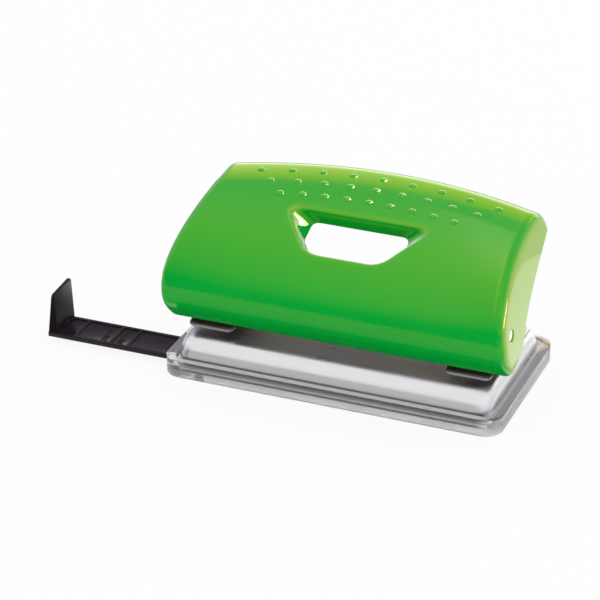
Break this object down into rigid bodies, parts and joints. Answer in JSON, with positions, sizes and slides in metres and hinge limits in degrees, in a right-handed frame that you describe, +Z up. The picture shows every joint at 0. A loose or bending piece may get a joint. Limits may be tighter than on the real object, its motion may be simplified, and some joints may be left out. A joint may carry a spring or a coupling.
{
  "type": "two-hole desk punch",
  "caption": "Desk paper punch with a curved moulded press lever, steel base, frosted chip tray and a sliding paper guide with an upright stop.",
  "frame": {"origin": "middle of the chip tray's flat underside, midway between the two holes", "axes": "+X to the right along the row of holes, +Y to the rear, +Z up"},
  "size_m": [0.1462, 0.0573, 0.0525],
  "materials": {
    "green_plastic": "gloss moulded green",
    "base_steel": "satin plated sheet",
    "frosted_plastic": "frosted translucent",
    "black_plastic": "gloss moulded black",
    "dark_steel": "blackened sheet",
    "bright_steel": "bright plated",
    "hard_steel": "hardened and ground",
    "bush_brass": "turned"
  },
  "bodies": {
    "base": {"base_plate": "base_steel", "left_bracket": "dark_steel", "right_bracket": "dark_steel", "left_die_plate": "hard_steel", "right_die_plate": "hard_steel", "left_bracket_rivets": "bright_steel", "right_bracket_rivets": "bright_steel", "left_guide_bush": "bush_brass", "right_guide_bush": "bush_brass", "lever_axle": "bright_steel", "left_axle_clip": "dark_steel", "right_axle_clip": "dark_steel", "left_return_spring": "bright_steel", "right_return_spring": "bright_steel"},
    "tray": {"chip_tray": "frosted_plastic"},
    "guide": {"paper_guide": "black_plastic"},
    "lever": {"lever_shell": "green_plastic"},
    "left_punch": {"left_punch_pin": "hard_steel", "left_spring_washer": "bright_steel", "left_pin_clip": "dark_steel"},
    "right_punch": {"right_punch_pin": "hard_steel", "right_spring_washer": "bright_steel", "right_pin_clip": "dark_steel"}
  },
  "joints": [
    {"name": "base_lift", "type": "slide", "parent": "tray", "child": "base", "axis": [0, 0, 1], "range_m": [0, 0.015]},
    {"name": "guide_slide", "type": "slide", "parent": "tray", "child": "guide", "axis": [1, 0, 0], "range_m": [-0.05, 0.036]},
    {"name": "lever_press", "type": "hinge", "parent": "base", "child": "lever", "pos_m": [0, -0.01924, 0.0294], "axis": [-1, 0, 0], "range_deg": [0, 18], "stiffness_Nm_per_rad": 0.8, "springref_deg": -22.92},
    {"name": "left_pin_slide", "type": "slide", "parent": "base", "child": "left_punch", "axis": [0, 0, -1], "range_m": [0, 0.0047], "deforming": ["left_return_spring"]},
    {"name": "right_pin_slide", "type": "slide", "parent": "base", "child": "right_punch", "axis": [0, 0, -1], "range_m": [0, 0.0047], "deforming": ["right_return_spring"]}
  ],
  "couplings": [
    {"joint": "left_pin_slide", "follows": "lever_press", "m_per_rad": 0.01496},
    {"joint": "right_pin_slide", "follows": "lever_press", "m_per_rad": 0.01496}
  ]
}
